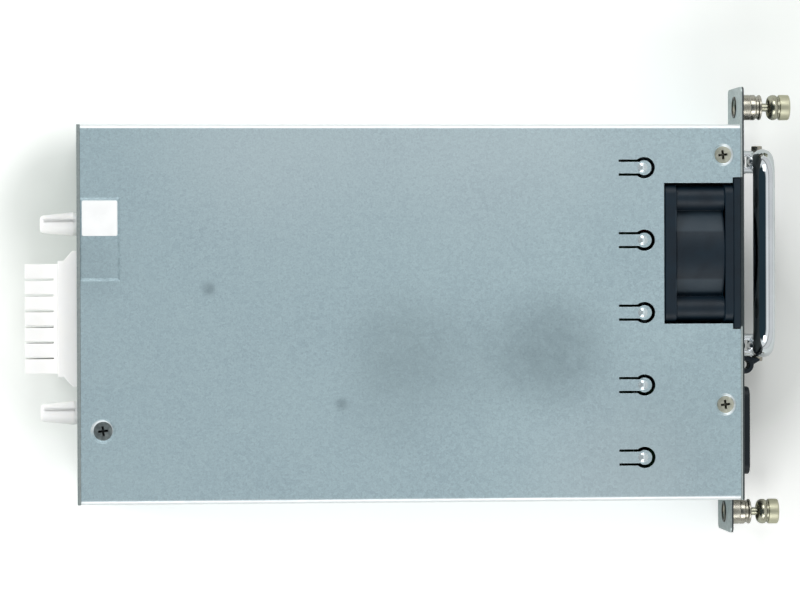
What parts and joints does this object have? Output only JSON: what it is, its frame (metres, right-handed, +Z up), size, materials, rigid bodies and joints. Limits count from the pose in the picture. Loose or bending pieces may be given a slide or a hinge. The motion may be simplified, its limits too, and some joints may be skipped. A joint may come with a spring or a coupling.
{
  "type": "switching power supply",
  "caption": "Plug-in switching power supply: flat sheet-steel case with cooling fan, upright mains inlet, folding handle, captive thumbscrews and rear output connector.",
  "frame": {"origin": "centre of the chassis underside, on the face that the part stands on", "axes": "+X along the case towards the handle end, +Y across the case towards the side nearer the fan, +Z up through the cover"},
  "size_m": [0.2221, 0.1304, 0.0415],
  "materials": {
    "galvanised_cover": "galvanised sheet, fine spangle, satin",
    "galvanised_tray": "galvanised sheet, satin",
    "panel_steel": "zinc plated, satin",
    "nickel": "nickel plated, semi-bright",
    "knob_nickel": "nickel plated, knurled skirt",
    "handle_chrome": "bright chrome plated",
    "black_screw": "black oxide, satin",
    "label_paper": "plain white, matt",
    "black_plastic": "black moulded, fine texture",
    "guard_plastic": "black moulded, satin",
    "impeller_plastic": "black moulded, satin",
    "inlet_plastic": "black thermoset, satin",
    "shaft_steel": "ground",
    "magnet_rubber": "matt",
    "bearing_bronze": "sintered, satin",
    "copper_wire": "enamelled copper",
    "soft_ring": "matt",
    "pin_nickel": "nickel plated",
    "contact_brass": "tin and gold flashed, satin",
    "clear_lens": "clear, polished",
    "white_nylon": "natural white moulded, satin",
    "circuit_board": "green solder mask",
    "insulation_film": "polyester film",
    "can_sleeve": "shrink sleeve",
    "can_aluminium": "drawn can",
    "ferrite": "sintered, matt",
    "sink_aluminium": "extruded, mill finish",
    "device_epoxy": "moulded epoxy",
    "film_yellow": "moulded box",
    "relay_blue": "moulded box",
    "fuse_ceramic": "glazed tube with plated caps",
    "lead_sleeve": "pvc sleeve"
  },
  "bodies": {
    "chassis": {"base_tray": "galvanised_tray", "board_screws": "nickel", "board_standoffs": "contact_brass", "boost_choke": "copper_wire", "bulk_capacitors": "can_sleeve", "captive_ferrule_lower": "nickel", "captive_ferrule_upper": "nickel", "control_board": "circuit_board", "cord_clip": "guard_plastic", "cover": "galvanised_cover", "cover_screw_rear": "black_screw", "cover_screws_front": "nickel", "fan_bearing": "bearing_bronze", "fan_frame": "black_plastic", "fan_guard": "guard_plastic", "fan_lead": "lead_sleeve", "fan_plug": "white_nylon", "fan_screws": "black_screw", "fan_stator": "copper_wire", "film_capacitors": "film_yellow", "filter_choke": "copper_wire", "front_panel": "panel_steel", "guide_pin_nuts": "nickel", "guide_pins": "white_nylon", "handle_nuts": "nickel", "handle_pivot_pins": "nickel", "handle_posts": "handle_chrome", "inlet_board": "circuit_board", "inlet_body": "inlet_plastic", "inlet_pins": "pin_nickel", "input_fuse": "fuse_ceramic", "inrush_relay": "relay_blue", "insulation_sheet": "insulation_film", "label": "label_paper", "main_board": "circuit_board", "output_capacitors": "can_aluminium", "output_choke": "ferrite", "output_connector": "white_nylon", "output_terminals": "contact_brass", "primary_heatsink": "sink_aluminium", "primary_transistors": "device_epoxy", "rear_panel": "panel_steel", "secondary_heatsink": "sink_aluminium", "secondary_transistors": "device_epoxy", "status_light": "clear_lens", "transformer_core": "ferrite", "transformer_winding": "copper_wire"},
    "fan_wheel": {"fan_rotor": "impeller_plastic", "fan_shaft": "shaft_steel", "fan_magnet": "magnet_rubber"},
    "handle": {"handle_bail": "handle_chrome"},
    "upper_screw_slider": {"captive_ring_upper": "soft_ring"},
    "upper_screw": {"captive_screw_upper": "knob_nickel"},
    "lower_screw_slider": {"captive_ring_lower": "soft_ring"},
    "lower_screw": {"captive_screw_lower": "knob_nickel"}
  },
  "joints": [
    {"name": "fan_spin", "type": "hinge", "parent": "chassis", "child": "fan_wheel", "pos_m": [0.083, 0.01705, 0.021], "axis": [1, 0, 0], "continuous": true},
    {"name": "handle_swing", "type": "hinge", "parent": "chassis", "child": "handle", "pos_m": [0.1054, 0.01705, 0.01], "axis": [0, 1, 0], "range_deg": [0, 95.9]},
    {"name": "upper_screw_slide", "type": "slide", "parent": "chassis", "child": "upper_screw_slider", "axis": [1, 0, 0], "range_m": [-0.002, 0]},
    {"name": "upper_screw_turn", "type": "hinge", "parent": "upper_screw_slider", "child": "upper_screw", "pos_m": [0.1047, 0.05955, 0.0305], "axis": [1, 0, 0], "continuous": true},
    {"name": "lower_screw_slide", "type": "slide", "parent": "chassis", "child": "lower_screw_slider", "axis": [1, 0, 0], "range_m": [-0.002, 0]},
    {"name": "lower_screw_turn", "type": "hinge", "parent": "lower_screw_slider", "child": "lower_screw", "pos_m": [0.1047, -0.05955, 0.0121], "axis": [1, 0, 0], "continuous": true}
  ]
}
